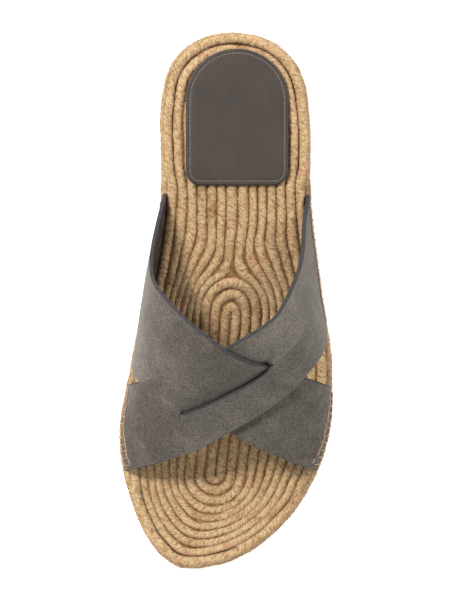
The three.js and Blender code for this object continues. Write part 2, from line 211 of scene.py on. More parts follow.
def edge_x(station, side):
    turn = np.arccos(1 - 2 * np.asarray(station, float))
    return outline_share(turn if side < 0 else TAU - turn) * local_width(station)


def spine_point(station, start=SPINE[0, 0], end=SPINE[-1, 0]):
    at = np.clip(station, start, end)
    return np.stack([along(SPINE, 1, at) * local_width(at), y_of(at)], -1)


def underside(station):
    past = np.maximum(station - SPRING_START, 0) / (1 - SPRING_START)
    arch = ARCH_RISE * ease(*ARCH_RISES, station) * (1 - ease(*ARCH_FALLS, station))
    return TOE_SPRING * past**SPRING_CURVE + arch


def rope_height(station):
    return mix(HEEL_ROPE_HEIGHT, TOE_ROPE_HEIGHT, ease(*THINNING, station))


def rope_bottom(station):
    return underside(station) + OUTSOLE_THICKNESS + CLEARANCE


def footbed(station):
    return rope_bottom(station) + rope_height(station)


def row_height(station):
    return rope_height(station) / SIDE_ROWS


def top_row_inset(station):
    press = ease(*PRESS_BEGINS, station) * (1 - ease(*PRESS_CEASES, station))
    return TOP_ROW_INSET + BAND_PRESS * press


def edge_band(station):
    return top_row_inset(station) + ROPE_WIDTH


def unit(vectors):
    return vectors / np.maximum(np.linalg.norm(vectors, axis=-1, keepdims=True), 1e-9)


def inward(turn, distance):
    rim = outline_point(turn)
    towards = unit(spine_point(station_of_turn(turn)) - rim)
    return rim + towards * np.broadcast_to(distance, np.shape(turn))[..., None]


def coil_offset(station, ropes):
    radius = COIL_LOOPS * ROPE_WIDTH
    straight = ropes * ROPE_WIDTH
    back = radius * np.maximum((COIL_CORE - station) / (COIL_CORE - COIL_TIP), 0)
    around = np.sqrt(np.maximum((radius + straight) ** 2 - back**2, 0))
    softness = min(ROPE_BEND, straight / 2)
    return (straight + around + np.hypot(straight - around, 2 * softness)) / 2


def loop_point(turn, ropes):
    station = station_of_turn(turn)
    spine = spine_point(station)
    reach = inward(turn, edge_band(station)) - spine
    coil = coil_offset(station, 0)
    out = (coil_offset(station, ropes) - coil) / (coil_offset(station, LOOPS - 1) - coil)
    length = mix(coil, np.linalg.norm(reach, axis=-1), out)
    return spine + unit(reach) * length[..., None]


def coil_point(turn, share):
    rim = loop_point(turn, 0)
    core = spine_point(station_of_turn(turn), COIL_CORE, SPINE[-1, 0])
    return mix(rim, core, share)


# The part's origin is under the middle of its box, so the last is shifted to it
OUTLINE_STEPS = 7201
OUTLINE_X = outline_point(np.linspace(0, TAU, OUTLINE_STEPS))[:, 0]
SHIFT_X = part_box("rope_sole")[0][0] / MM - OUTLINE_X.min()

# Materials


def colour(hex_value):
    """An sRGB hex value as the linear colour that Blender works in."""
    parts = [int(hex_value[i:i + 2], 16) / 255 for i in (1, 3, 5)]
    linear = [p / 12.92 if p <= 0.04045 else ((p + 0.055) / 1.055) ** 2.4 for p in parts]
    return (*linear, 1.0)


def node(material, kind, settings=None, **links):
    """Add a shader node. Settings go on the node, its ramp or its sockets; links come from
    other nodes, whose first output is meant, or from their sockets."""
    made = material.node_tree.nodes.new("ShaderNode" + kind)
    for name, value in (settings or {}).items():
        if name == "stops":
            elements = made.color_ramp.elements
            while len(elements) < len(value):
                elements.new(0.5)
            for element, (place, hex_value) in zip(elements, value):
                element.position, element.color = place, colour(hex_value)
        elif hasattr(made, name):
            setattr(made, name, value)
        else:
            made.inputs[name].default_value = value
    for name, source in links.items():
        socket = source.outputs[0] if isinstance(source, bpy.types.Node) else source
        material.node_tree.links.new(socket, made.inputs[name.replace("_", " ")])
    return made


def finish(name):
    """A new material, and the places on the object that its patterns follow."""
    material = bpy.data.materials.new(name)
    material.use_nodes = True
    material.node_tree.nodes.clear()
    return material, node(material, "TexCoord").outputs["Object"]


def per_metre(size_mm):
    """Noise scale that gives lumps of a real size in millimetres."""
    return 1 / (size_mm * MM)


def jute_rope():
    """Natural jute, spun and twisted into rope: dry, matt straw and honey tones that change along each
    rope, browner towards the grooves and in the creases of the twist, both painted shade, with speckle
    where single yarns catch the light."""
    m, here = finish("jute_rope")
    place = node(m, "Attribute", {"attribute_name": "rope_place"}).outputs["Vector"]
    strand = node(m, "Attribute", {"attribute_name": "strand"}).outputs["Fac"]
    height = node(m, "Attribute", {"attribute_name": "groove"}).outputs["Fac"]
    # Lots of fibre of slightly different colour were spun in, in lengths of 10 to 40 mm
    lots = node(m, "TexNoise", {"Scale": per_metre(20), "Detail": 4.0, "Roughness": 0.65},
                Vector=place)
    tone = node(m, "ValToRGB", {"stops": [(0.28, "#a5825e"), (0.42, "#bda27d"), (0.55, "#c6ae89"),
                                          (0.66, "#c19b7d"), (0.78, "#a68f66")]}, Fac=lots)
    # Streaks along the yarns, drawn at 1.1 mm, coarser than the real 0.4 mm, so that they show
    drawn = node(m, "Mapping", {"Scale": (0.4, 1.0, 1.0)}, Vector=place)
    yarn = node(m, "TexNoise", {"Scale": per_metre(1.1), "Detail": 3.0, "Roughness": 0.75},
                Vector=drawn)
    speckle = node(m, "ValToRGB", {"stops": [(0.34, "#8d6d4a"), (0.46, "#dccdb6"),
                                             (0.58, "#ffffff")]},
                   Fac=yarn)
    spun = node(m, "MixRGB", {"blend_type": "MULTIPLY", "Fac": 0.8}, Color1=tone, Color2=speckle)
    # Painted shade in the creases between the strands of the twist
    crease_shade = node(m, "ValToRGB", {"stops": [(0.0, "#96744c"), (0.5, "#e9dccb"), (0.85, "#ffffff")]},
               Fac=strand)
    twisted = node(m, "MixRGB", {"blend_type": "MULTIPLY", "Fac": 0.45}, Color1=spun, Color2=crease_shade)
    # Painted shade: towards the bottom of each rope, between the ropes, the jute is darkened to a
    # browner tone, here more and there less
    shade_patches = node(m, "TexNoise", {"Scale": per_metre(7), "Detail": 2.0}, Vector=here)
    uneven = node(m, "MapRange", {"From Min": 0.3, "From Max": 0.7, "To Min": -0.12, "To Max": 0.12},
                  Value=shade_patches)
    depth = node(m, "MixRGB", {"blend_type": "ADD", "Fac": 1.0}, Color1=height, Color2=uneven)
    groove_shade = node(m, "ValToRGB", {"stops": [(0.42, "#8c6c46"), (0.66, "#cbb08a"),
                                           (0.88, "#ffffff")]},
                 Fac=depth)
    tint = node(m, "MixRGB", {"blend_type": "MULTIPLY", "Fac": 0.75}, Color1=twisted, Color2=groove_shade)
    fibre = node(m, "TexNoise", {"Scale": per_metre(0.6), "Detail": 3.0, "Roughness": 0.7},
                 Vector=here)
    bump = node(m, "Bump", {"Strength": 0.6, "Distance": 0.3 * MM}, Height=fibre)
    shader = node(m, "BsdfPrincipled", {"Roughness": 0.92, "Specular IOR Level": 0.15,
                                        "Sheen Weight": 0.12, "Sheen Roughness": 0.6},
                  Base_Color=tint, Normal=bump)
    node(m, "OutputMaterial", Surface=shader)
    return m


def jute_core():
    """The inner ropes that show as brown between the top ones: the same jute, in their shade."""
    m, here = finish("jute_core")
    lumps = node(m, "TexNoise", {"Scale": per_metre(3), "Detail": 3.0}, Vector=here)
    tone = node(m, "ValToRGB", {"stops": [(0.35, "#664a2b"), (0.7, "#967147")]}, Fac=lumps)
    bump = node(m, "Bump", {"Strength": 0.6, "Distance": 0.4 * MM}, Height=lumps)
    shader = node(m, "BsdfPrincipled", {"Roughness": 0.95, "Specular IOR Level": 0.1},
                  Base_Color=tone, Normal=bump)
    node(m, "OutputMaterial", Surface=shader)
    return m


def jute_fibre():
    """Single fibres that stand out of the ropes: pale and a little silky."""
    m, here = finish("jute_fibre")
    mixed = node(m, "TexNoise", {"Scale": per_metre(5)}, Vector=here)
    tone = node(m, "ValToRGB", {"stops": [(0.35, "#b08e60"), (0.5, "#d9c298"), (0.65, "#efe0bd")]},
                Fac=mixed)
    shader = node(m, "BsdfPrincipled", {"Roughness": 0.6, "Specular IOR Level": 0.3},
                  Base_Color=tone)
    node(m, "OutputMaterial", Surface=shader)
    return m


def grey_suede():
    """Split cowhide buffed to a nap: warm grey, no shine, a pale sheen at grazing angles, a painted
    highlight that lightens the flanks where the light falls on them, soft mottling and pale fibre
    tips."""
    m, here = finish("grey_suede")
    bloom = node(m, "Attribute", {"attribute_name": "bloom"}).outputs["Fac"]
    # The nap lies one way and then another in patches of about 12 mm
    patches = node(m, "TexNoise", {"Scale": per_metre(12), "Detail": 5.0, "Roughness": 0.6,
                                   "Distortion": 0.6}, Vector=here)
    flat = node(m, "ValToRGB", {"stops": [(0.3, "#5a5650"), (0.5, "#65605a"), (0.7, "#716d65")]},
                Fac=patches)
    # Painted highlight: a lighter copy of the tone, mixed in by a mark on the points where the flanks
    # catch the light
    highlit_tone = node(m, "ValToRGB", {"stops": [(0.3, "#77736c"), (0.5, "#827d76"), (0.7, "#8d8780")]},
                  Fac=patches)
    tone = node(m, "MixRGB", Fac=bloom, Color1=flat, Color2=highlit_tone)
    # Fibre tips, drawn at 1 mm, coarser than the real 0.2 mm, so that they show
    tips = node(m, "TexNoise", {"Scale": per_metre(1.0), "Detail": 4.0, "Roughness": 0.85},
                Vector=here)
    fine = node(m, "ValToRGB", {"stops": [(0.34, "#7c7874"), (0.5, "#cfcbc6"), (0.66, "#ffffff")]},
                Fac=tips)
    tint = node(m, "MixRGB", {"blend_type": "MULTIPLY", "Fac": 0.9}, Color1=tone, Color2=fine)
    nap = node(m, "TexNoise", {"Scale": per_metre(0.5), "Detail": 3.0, "Roughness": 0.7},
               Vector=here)
    bump = node(m, "Bump", {"Strength": 0.35, "Distance": 0.15 * MM}, Height=nap)
    shader = node(m, "BsdfPrincipled", {"Roughness": 0.95, "Specular IOR Level": 0.12,
                                        "Sheen Weight": 0.35, "Sheen Roughness": 0.45,
                                        "Sheen Tint": colour("#cfcabf")},
                  Base_Color=tint, Normal=bump)
    node(m, "OutputMaterial", Surface=shader)
    return m


def shaded_flesh_side():
    """Flesh side of the split, inside the bands: a dark brown-grey that is painted shade, darker than
    the suede for the shade that falls inside the bands; rough and quite without shine.
    """
    m, here = finish("shaded_flesh_side")
    patches = node(m, "TexNoise", {"Scale": per_metre(6), "Detail": 4.0}, Vector=here)
    # Painted shade: the inside of the bands is coloured dark for the shade that falls there
    tone = node(m, "ValToRGB", {"stops": [(0.35, "#3c342d"), (0.65, "#4f463d")]}, Fac=patches)
    bump = node(m, "Bump", {"Strength": 0.5, "Distance": 0.2 * MM}, Height=patches)
    shader = node(m, "BsdfPrincipled", {"Roughness": 1.0, "Specular IOR Level": 0.08},
                  Base_Color=tone, Normal=bump)
    node(m, "OutputMaterial", Surface=shader)
    return m


def edge_paint():
    """Acrylic edge paint on the cut leather: slate grey, smooth, with a low sheen."""
    m, here = finish("edge_paint")
    coat = node(m, "TexNoise", {"Scale": per_metre(2.5), "Detail": 3.0}, Vector=here)
    tone = node(m, "ValToRGB", {"stops": [(0.3, "#333134"), (0.7, "#403e41")]}, Fac=coat)
    bump = node(m, "Bump", {"Strength": 0.3, "Distance": 0.1 * MM}, Height=coat)
    shader = node(m, "BsdfPrincipled", {"Roughness": 0.8, "Specular IOR Level": 0.25},
                  Base_Color=tone, Normal=bump)
    node(m, "OutputMaterial", Surface=shader)
    return m


def pad_leather():
    """Full grain sheepskin, dyed and lightly waxed: fine pores, a soft sheen."""
    m, here = finish("pad_leather")
    clouds = node(m, "TexNoise", {"Scale": per_metre(20), "Detail": 3.0}, Vector=here)
    tone = node(m, "ValToRGB", {"stops": [(0.3, "#37302b"), (0.55, "#3c342e"), (0.75, "#413932")]},
                Fac=clouds)
    # Pores of the grain, 0.8 mm apart
    pores = node(m, "TexVoronoi", {"Scale": per_metre(0.8)}, Vector=here)
    dots = node(m, "ValToRGB", {"stops": [(0.1, "#d8d4cf"), (0.45, "#ffffff")]}, Fac=pores)
    tint = node(m, "MixRGB", {"blend_type": "MULTIPLY", "Fac": 0.6}, Color1=tone, Color2=dots)
    bump = node(m, "Bump", {"Strength": 0.35, "Distance": 0.1 * MM}, Height=pores)
    waxed = node(m, "MapRange", {"To Min": 0.52, "To Max": 0.66}, Value=clouds)
    shader = node(m, "BsdfPrincipled", {"Specular IOR Level": 0.35, "Coat Weight": 0.05,
                                        "Coat Roughness": 0.5},
                  Base_Color=tint, Normal=bump, Roughness=waxed)
    node(m, "OutputMaterial", Surface=shader)
    return m


def spun_thread(name, pale, deep):
    """Waxed spun thread: its plies show as small lumps, lighter where they rise."""
    m, here = finish(name)
    plies = node(m, "TexNoise", {"Scale": per_metre(0.9), "Detail": 2.0}, Vector=here)
    tone = node(m, "ValToRGB", {"stops": [(0.3, deep), (0.65, pale)]}, Fac=plies)
    bump = node(m, "Bump", {"Strength": 0.4, "Distance": 0.1 * MM}, Height=plies)
    shader = node(m, "BsdfPrincipled", {"Roughness": 0.75, "Specular IOR Level": 0.25},
                  Base_Color=tone, Normal=bump)
    node(m, "OutputMaterial", Surface=shader)
    return m


def crepe_rubber():
    """Moulded crepe rubber: honey brown, matt, with a crumbled surface."""
    m, here = finish("crepe_rubber")
    crumbs = node(m, "TexNoise", {"Scale": per_metre(2), "Detail": 4.0}, Vector=here)
    tone = node(m, "ValToRGB", {"stops": [(0.3, "#7d6142"), (0.7, "#9a7c56")]}, Fac=crumbs)
    bump = node(m, "Bump", {"Strength": 0.7, "Distance": 0.3 * MM}, Height=crumbs)
    shader = node(m, "BsdfPrincipled", {"Roughness": 0.8, "Specular IOR Level": 0.3},
                  Base_Color=tone, Normal=bump)
    node(m, "OutputMaterial", Surface=shader)
    return m


def pale_backdrop():
    """White studio paper, lit a little from behind so that the shadows on it stay pale."""
    m, _ = finish("pale_backdrop")
    shader = node(m, "BsdfPrincipled", {"Base Color": colour("#f4f4f3"), "Roughness": 0.9,
                                        "Specular IOR Level": 0.1, "Emission Color": colour("#ffffff"),
                                        "Emission Strength": 0.5})
    node(m, "OutputMaterial", Surface=shader)
    return m


JUTE = jute_rope()
JUTE_CORE = jute_core()
JUTE_FIBRE = jute_fibre()
SUEDE_NAP = grey_suede()
EDGE_PAINT = edge_paint()
SHADED_FLESH_SIDE = shaded_flesh_side()
PAD = pad_leather()
FOOT_THREAD = spun_thread("foot_thread", "#bb9c80", "#876850")
PAD_THREAD = spun_thread("pad_thread", "#968e84", "#6f675f")
CREPE = crepe_rubber()
BACKDROP = pale_backdrop()

# Meshes


def mesh_piece(name, points, faces, materials, replaces=None, looks=None, marks=None):
    """A piece from points in millimetres of the last, its faces, materials and point values."""
    mesh = bpy.data.meshes.new(name)
    placed = (np.asarray(points, float) + [SHIFT_X, 0, 0]) * MM
    mesh.from_pydata(placed.tolist(), [], [list(face) for face in faces])
    for material in materials:
        mesh.materials.append(material)
    if looks is not None:
        mesh.polygons.foreach_set("material_index", np.asarray(looks, dtype=np.int32))
    for mark, values in (marks or {}).items():
        values = np.asarray(values, np.float32)
        kind = "FLOAT_VECTOR" if values.ndim == 2 else "FLOAT"
        layer = mesh.attributes.new(mark, kind, "POINT")
        layer.data.foreach_set("vector" if values.ndim == 2 else "value", values.ravel())
    mesh.polygons.foreach_set("use_smooth", np.ones(len(mesh.polygons), dtype=bool))
    mesh.update()
    piece = bpy.data.objects.new(name, mesh)
    bpy.context.scene.collection.objects.link(piece)
    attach(piece, "root")
    if replaces:
        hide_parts(replaces)
    return piece


def grid_faces(rows, columns, wrap_rows, wrap_columns, start=0):
    r = np.arange(rows if wrap_rows else rows - 1)
    c = np.arange(columns if wrap_columns else columns - 1)
    r, c = (a.ravel() for a in np.meshgrid(r, c, indexing="ij"))
    r2, c2 = (r + 1) % rows, (c + 1) % columns
    corners = [r * columns + c, r * columns + c2, r2 * columns + c2, r2 * columns + c]
    return start + np.stack(corners, -1)


def tube(line, reference, radius, sides, first):
    """Points and faces of a closed thread round a line. Its faces count on from a first point."""
    ahead = unit(np.gradient(line, axis=0))
    side = unit(np.cross(ahead, reference))
    up = np.cross(side, ahead)
    angle = TAU * np.arange(sides) / sides
    thick = np.broadcast_to(radius, len(line))[:, None, None]
    points = line[:, None, :] + thick * (side[:, None, :] * np.cos(angle)[None, :, None]
                                         + up[:, None, :] * np.sin(angle)[None, :, None])
    last = first + (len(line) - 1) * sides
    faces = [tuple(face) for face in grid_faces(len(line), sides, False, True, first)]
    faces.append(tuple(range(first + sides - 1, first - 1, -1)))
    faces.append(tuple(range(last, last + sides)))
    return points.reshape(-1, 3), faces


# Ropes

TWIST = 1.8
# The yarns lie at 45 degrees to the rope
YARN_LEAN = math.sqrt(0.5)
STEPS_PER_TWIST = 4
STRANDS = 6
STRAND_RELIEF = 0.08
STRAND_FLATNESS = 0.7
# How far single yarns stand out of a rope, as a share of its half width
FUZZ = 0.035
# Angles round a rope, closer together on its upper side, which shows
ROUND = np.radians([-35, -12, 6, 22, 38, 54, 70, 86, 102, 118, 134, 150, 166, 186, 212, 270])
CREST, BELLY = 7, 15
# How a rope strays from even: by how much, and in waves of which shortest and longest length.
# Sway and lift are in millimetres, swell is a share of its width, unevenness is in twists.
SWAY = (0.16, 14, 45)
SWELL = (0.04, 8, 30)
LIFT = (0.18, 10, 35)
UNEVENNESS = (0.35, 5, 18)
WAVES = 5
# A rope is a little wider than its way, so that it meets its neighbours, within these limits
SQUEEZE = 1.02
HALF_WIDTHS = (2.35, 3.3)
# Millimetres over which a rope's bends are evened out. The outermost and innermost loops keep
# closest to their edges, and those between them bend more freely.
PLAIN_BEND, CLOSE_BEND, FREE_BEND = 1.0, 2.0, 4.0
SOLE_STEPS = 2400
COIL_STEPS = 1600
# Each rope's number starts its own random wander: loops count from 0, the others from these
COIL_NUMBER, SIDE_NUMBER = 20, 40


def waver(rng, s, length, amount, shortest, longest):
    """A wander along a closed rope: a few waves that all close after its length."""
    waves = [(rng.uniform(0.4, 1.0), max(1, round(length / rng.uniform(shortest, longest))),
              rng.uniform(0, TAU)) for _ in range(WAVES)]
    total = sum(size for size, _, _ in waves)
    summed = sum(size * np.sin(TAU * count * s / length + phase) for size, count, phase in waves)
    return amount * summed / total * 2


def smoothed(values, length, reach):
    """A closed line of values, evened out over a reach in millimetres."""
    waves = np.fft.rfft(values)
    per_mm = np.arange(len(waves)) / length
    return np.fft.irfft(waves * np.exp(-0.5 * (TAU * per_mm * reach) ** 2), len(values))


def rope(middle, half_width, top, half_height, number, reach=PLAIN_BEND):
    """One closed rope: its middle line, half width, top level and half height at fine steps."""
    rng = np.random.default_rng(number)
    steps = np.linalg.norm(np.diff(middle, axis=0, append=middle[:1]), axis=1)
    place = np.concatenate([[0], np.cumsum(steps)])
    length = place[-1]
    twists = round(length / TWIST)
    count = twists * STEPS_PER_TWIST
    s = np.arange(count) / count * length

    def evenly(values):
        return np.interp(s, place, np.append(values, values[0]))

    x, y = (smoothed(evenly(middle[:, k]), length, reach) for k in (0, 1))
    ahead = unit(np.stack([np.roll(x, -1) - np.roll(x, 1), np.roll(y, -1) - np.roll(y, 1)], -1))
    side = np.stack([-ahead[:, 1], ahead[:, 0]], -1)
    sway = waver(rng, s, length, *SWAY)
    swell = 1 + waver(rng, s, length, *SWELL)
    lift = waver(rng, s, length, *LIFT) - LIFT[0]
    wide = smoothed(evenly(half_width), length, reach) * swell
    high = evenly(half_height)
    level = evenly(top) - high
    uneven = waver(rng, s, length, *UNEVENNESS)[:, None]
    phase = s[:, None] / length * twists + STRANDS * ROUND[None, :] / TAU + uneven
    strand = np.abs(np.sin(math.pi * phase)) ** STRAND_FLATNESS
    yarns = rng.normal(0, 1, strand.shape)
    yarns = (yarns + np.roll(yarns, 1, 0) + 0.5 * np.roll(yarns, 1, 1)) / 1.5
    relief = 1 - STRAND_RELIEF * (1 - strand) + FUZZ * yarns
    sideways = sway[:, None] + wide[:, None] * np.cos(ROUND)[None, :] * relief
    points = np.stack([
        x[:, None] + side[:, :1] * sideways,
        y[:, None] + side[:, 1:] * sideways,
        level[:, None] + lift[:, None] + high[:, None] * np.sin(ROUND)[None, :] * relief,
    ], -1)
    groove = np.broadcast_to((np.sin(ROUND)[None, :] + 1) / 2, strand.shape)
    # Places on the rope's skin, along the yarns and across them, for the pattern of its colours
    along_yarn = YARN_LEAN * (s[:, None] - ROPE_WIDTH / 2 * ROUND[None, :])
    across_yarn = YARN_LEAN * TWIST * phase
    spun = np.stack([along_yarn, across_yarn, np.full(strand.shape, number * 11.0)], -1) * MM
    return points, strand, groove, spun


def rope_piece(name, ropes):
    points, faces, first = [], [], 0
    marks = {"strand": [], "groove": [], "rope_place": []}
    for grid, strand, groove, spun in ropes:
        points.append(grid.reshape(-1, 3))
        marks["strand"].append(strand.ravel())
        marks["groove"].append(groove.ravel())
        marks["rope_place"].append(spun.reshape(-1, 3))
        faces.append(grid_faces(*strand.shape, True, True, first))
        first += strand.size
    return mesh_piece(name, np.concatenate(points), np.concatenate(faces)[:, ::-1], [JUTE],
                      "rope_sole",
                      marks={mark: np.concatenate(values) for mark, values in marks.items()})


FINE = np.linspace(0, TAU, SOLE_STEPS, endpoint=False)
STATION = station_of_turn(FINE)


def station_at(places):
    return 0.5 - places[:, 1] / SOLE_LENGTH


def between(outer, inner):
    """Middle line and half width of a rope that fills the way between two curves."""
    middle = (outer + inner) / 2
    ahead = unit(np.roll(middle, -1, 0) - np.roll(middle, 1, 0))
    across = (outer - inner) / 2
    half = np.abs(across[:, 0] * ahead[:, 1] - across[:, 1] * ahead[:, 0])
    return middle, np.clip(half * SQUEEZE, *HALF_WIDTHS)


def loop_rope(number):
    """Rope number 0 is the edge band; higher ones lie further in."""
    if number == 0:
        outer, inner = inward(FINE, top_row_inset(STATION)), inward(FINE, edge_band(STATION))
        half_height = row_height(STATION) / 2
    else:
        outer, inner = (loop_point(FINE, LOOPS - number - further) for further in (0, 1))
        half_height = np.full(len(FINE), ROPE_WIDTH / 2)
    middle, half = between(outer, inner)
    reach = CLOSE_BEND if number in (0, LOOPS - 1) else FREE_BEND
    return rope(middle, half, footbed(station_at(middle)), half_height, number, reach)


def coil_rope(number):
    tip = math.acos(1 - 2 * COIL_TIP)
    turn = np.linspace(tip, TAU - tip, COIL_STEPS)
    outer, inner = (coil_point(turn, (number + further) / COIL_LOOPS) for further in (0, 1))
    middle, half = between(outer, inner)
    return rope(middle, half, footbed(station_at(middle)), np.full(len(turn), ROPE_WIDTH / 2),
                COIL_NUMBER + number)


def side_rope(row):
    inset = SIDE_GROOVE if row == 0 else 0
    tall = row_height(STATION)
    top = rope_bottom(STATION) + (row + 1) * tall
    return rope(inward(FINE, inset + ROPE_WIDTH / 2), np.full(len(FINE), ROPE_WIDTH / 2), top,
                tall / 2, SIDE_NUMBER + row)


LOOP_ROPES = [loop_rope(number) for number in range(LOOPS)]
COIL_ROPES = [coil_rope(number) for number in range(COIL_LOOPS)]
SIDE_ROPES = [side_rope(row) for row in range(SIDE_ROWS - 1)]
rope_piece("rope_rim", LOOP_ROPES[:3])
rope_piece("rope_loops", LOOP_ROPES[3:])
rope_piece("rope_coil", COIL_ROPES)
rope_piece("rope_side", SIDE_ROPES)

BED_STEPS = 180
BED_DEPTH = 1.75
BED_BEVEL = 2
# Height of the bed's side, in rows of rope
BED_SIDE = 2.1


def rope_bed():
    """The inner ropes, under and between those that show."""
    turn = np.linspace(0, TAU, BED_STEPS, endpoint=False)

    def ring(inset, level):
        flat = spine_point(station_of_turn(turn)) if inset is None else inward(turn, inset)
        return np.column_stack([flat, level(station_at(flat))])

    def bottom(at):
        return rope_bottom(at) + CLEARANCE

    def low_side(at):
        return rope_bottom(at) + BED_BEVEL

    def high_side(at):
        return rope_bottom(at) + BED_SIDE * row_height(at)

    def top(at):
        return footbed(at) - BED_DEPTH

    # From the middle of its underside round to the middle of its top: inset from the sole's
    # edge, or None for the middle, and level
    rows = [ring(None, bottom), ring(4.5, bottom), ring(3.6, low_side), ring(5.2, high_side),
            ring(8, top), ring(None, top)]
    return mesh_piece("rope_bed", np.concatenate(rows),
                      grid_faces(len(rows), len(turn), False, True)[:, ::-1],
                      [JUTE_CORE], "rope_sole")


rope_bed()

# A rope of this many steps has this many stray fibres
STEPS_PER_ROPE = 4200
FIBRES_PER_ROPE = 330
FIBRE_RADIUS = 0.09
FIBRE_SIDES = 3
FIBRE_SEED = 5
# From a fibre's root to its tip: places along it, and heights over the rope's skin
FIBRE_PLACES = (0, 0.33, 0.67, 1)
FIBRE_LIFT = np.array([-0.3, 0.35, 0.45, 0.1])
# Ranges of a fibre's first column on the rope's skin, steps along it, and columns across it
FIBRE_COLUMNS, FIBRE_SPANS, FIBRE_TURNS = (1, 13), (3, 9), (-2, 3)
LAST_FIBRE_COLUMN = 14


def stray_fibres():
    """Short fibres that stick out of the ropes, lying roughly along them."""
    rng = np.random.default_rng(FIBRE_SEED)
    points, faces, first = [], [], 0
    for grid, *_ in LOOP_ROPES + COIL_ROPES + SIDE_ROPES:
        count = int(FIBRES_PER_ROPE * len(grid) / STEPS_PER_ROPE)
        starts = rng.integers(0, len(grid), count)
        columns, spans, turns = (rng.integers(*limits, count)
                                 for limits in (FIBRE_COLUMNS, FIBRE_SPANS, FIBRE_TURNS))
        for start, column, span, turn in zip(starts, columns, spans, turns):
            at = [(start + round(span * t)) % len(grid) for t in FIBRE_PLACES]
            to = [int(np.clip(column + turn * t, 0, LAST_FIBRE_COLUMN)) for t in FIBRE_PLACES]
            line = grid[at, to]
            out = unit(line - grid[at][:, [CREST, BELLY]].mean(1))
            line = line + out * FIBRE_LIFT[:, None] * rng.uniform(0.5, 1.3)
            skin, sides = tube(line, out, FIBRE_RADIUS, FIBRE_SIDES, first)
            points.append(skin)
            faces += sides
            first += len(skin)
    return mesh_piece("stray_fibres", np.concatenate(points), faces, [JUTE_FIBRE])


stray_fibres()

# Bands


def band_base(station):
    return footbed(station) - BAND_BASE_DROP


def band_foot(station):
    return rope_bottom(station) + 2 * row_height(station) + CLEARANCE


def section_point(station, across):
    inset = top_row_inset(station) - CLEARANCE - SUEDE / 2
    width = local_width(station)
    at = lambda column: along(SECTIONS, column, station)
    ridge = RIDGE * width
    medial = ridge - (edge_x(station, -1) + inset)
    lateral = edge_x(station, 1) - inset - ridge
    angle = math.pi * across
    spreading = width * np.sin(2 * angle)
    sine, cosine = np.maximum(np.sin(angle), 0), np.cos(angle)
    power = np.where(cosine > 0, 2 / MEDIAL_FULLNESS, 2 / LATERAL_FULLNESS)
    reach = np.where(cosine > 0, -(medial + at(2) * spreading), lateral - at(3) * spreading)
    return np.stack([
        ridge + reach * np.abs(cosine) ** power,
        y_of(station),
        band_base(station) + INSTEP_HEIGHT * at(1) * sine**power,
    ], -1)


def section_normal(station, across):
    step = 0.002
    sideways = (section_point(station, np.minimum(across + step, 1))
                - section_point(station, np.maximum(across - step, 0)))
    forward = section_point(station + step, across) - section_point(station - step, across)
    return unit(np.cross(forward, sideways))


def edge(column):
    return lambda across: along(EDGES, column, across)


def slit_gate(across):
    opening = ease(SLIT_FROM - SLIT_CLOSING, SLIT_FROM, across)
    return opening * (1 - ease(SLIT_TO, SLIT_TO + SLIT_CLOSING, across))


def crossing(station, across):
    behind = (edge(SLIT)(across) - station) * SOLE_LENGTH
    return mix(-LAP, LAP, ease(-SLIT_RISE, SLIT_DIVE, behind))


def level_behind_slit(station, across):
    return SUEDE * slit_gate(across) * np.minimum(0, crossing(station, across) - LAP)


def level_before_slit(station, across):
    return SUEDE * slit_gate(across) * np.maximum(0, crossing(station, across) + LAP)


# Near its feet, over this share of the way across, a band lies on the last itself
ON_THE_LAST = 0.06


def level_of_b(station, across):
    past_back = (edge(BACK_A)(across) - station) * SOLE_LENGTH
    past_front = (station - edge(FRONT_A)(across)) * SOLE_LENGTH
    crossed = (1 - ease(0, EDGE_BLEND, past_back)) * (1 - ease(0, EDGE_BLEND, past_front))
    from_foot = np.minimum(across, 1 - across)
    joined = ease(*JOIN, across)
    return SUEDE * crossing(station, across) * crossed * ease(0, ON_THE_LAST, from_foot) * joined


ACROSS = np.unique(np.concatenate([
    np.linspace(0, 1, 141),
    [SLIT_FROM - SLIT_CLOSING, SLIT_FROM, SLIT_TO, SLIT_TO + SLIT_CLOSING],
]))
FOOT_PARTS = [1, 0.75, 0.5, 0.25]
# Distances from a cut edge at which the wall has a row: the first ones make its rounding
NEAR_EDGE = [0, 0.3, 0.7, 1.2, 2.4]
EDGE_ROUNDING = 0.4
ROUNDING_REACH = 0.7
# The paint runs over the edge: by this many rows on to the suede, and further on to the inside. On the
# back edges the paint on the suede is widened to stand also for the shade the edge throws there:
# partly painted shade.
PAINTED_OUTSIDE = 2
PAINTED_INSIDE = 3


def wall(station, level, thickness):
    """Both faces of a band's wall along one row of stations, from foot to foot."""
    middle = section_point(station, ACROSS)
    normal = section_normal(station, ACROSS)
    inner = middle + normal * (level - SUEDE / 2 + (SUEDE - thickness) / 2)[:, None]
    outer = inner + normal * thickness[:, None]
    faces_in, faces_out = [inner], [outer]
    for side, end in ((-1, 0), (1, -1)):
        foot_in, foot_out = [], []
        for part in FOOT_PARTS:
            low = inner[end].copy()
            low[2] = mix(low[2], band_foot(station[end]), part)
            foot_in.append(low)
            foot_out.append(low + [side * mix(thickness[end], SKIVED_FOOT, part), 0, 0])
        if side < 0:
            faces_in.insert(0, np.array(foot_in))
            faces_out.insert(0, np.array(foot_out))
        else:
            faces_in.append(np.array(foot_in[::-1]))
            faces_out.append(np.array(foot_out[::-1]))
    return np.concatenate(faces_in), np.concatenate(faces_out)


def rounding(distance):
    """How much thinner the wall is at a distance from a cut edge."""
    return EDGE_ROUNDING * np.clip(1 - distance / ROUNDING_REACH, 0, 1) ** 2


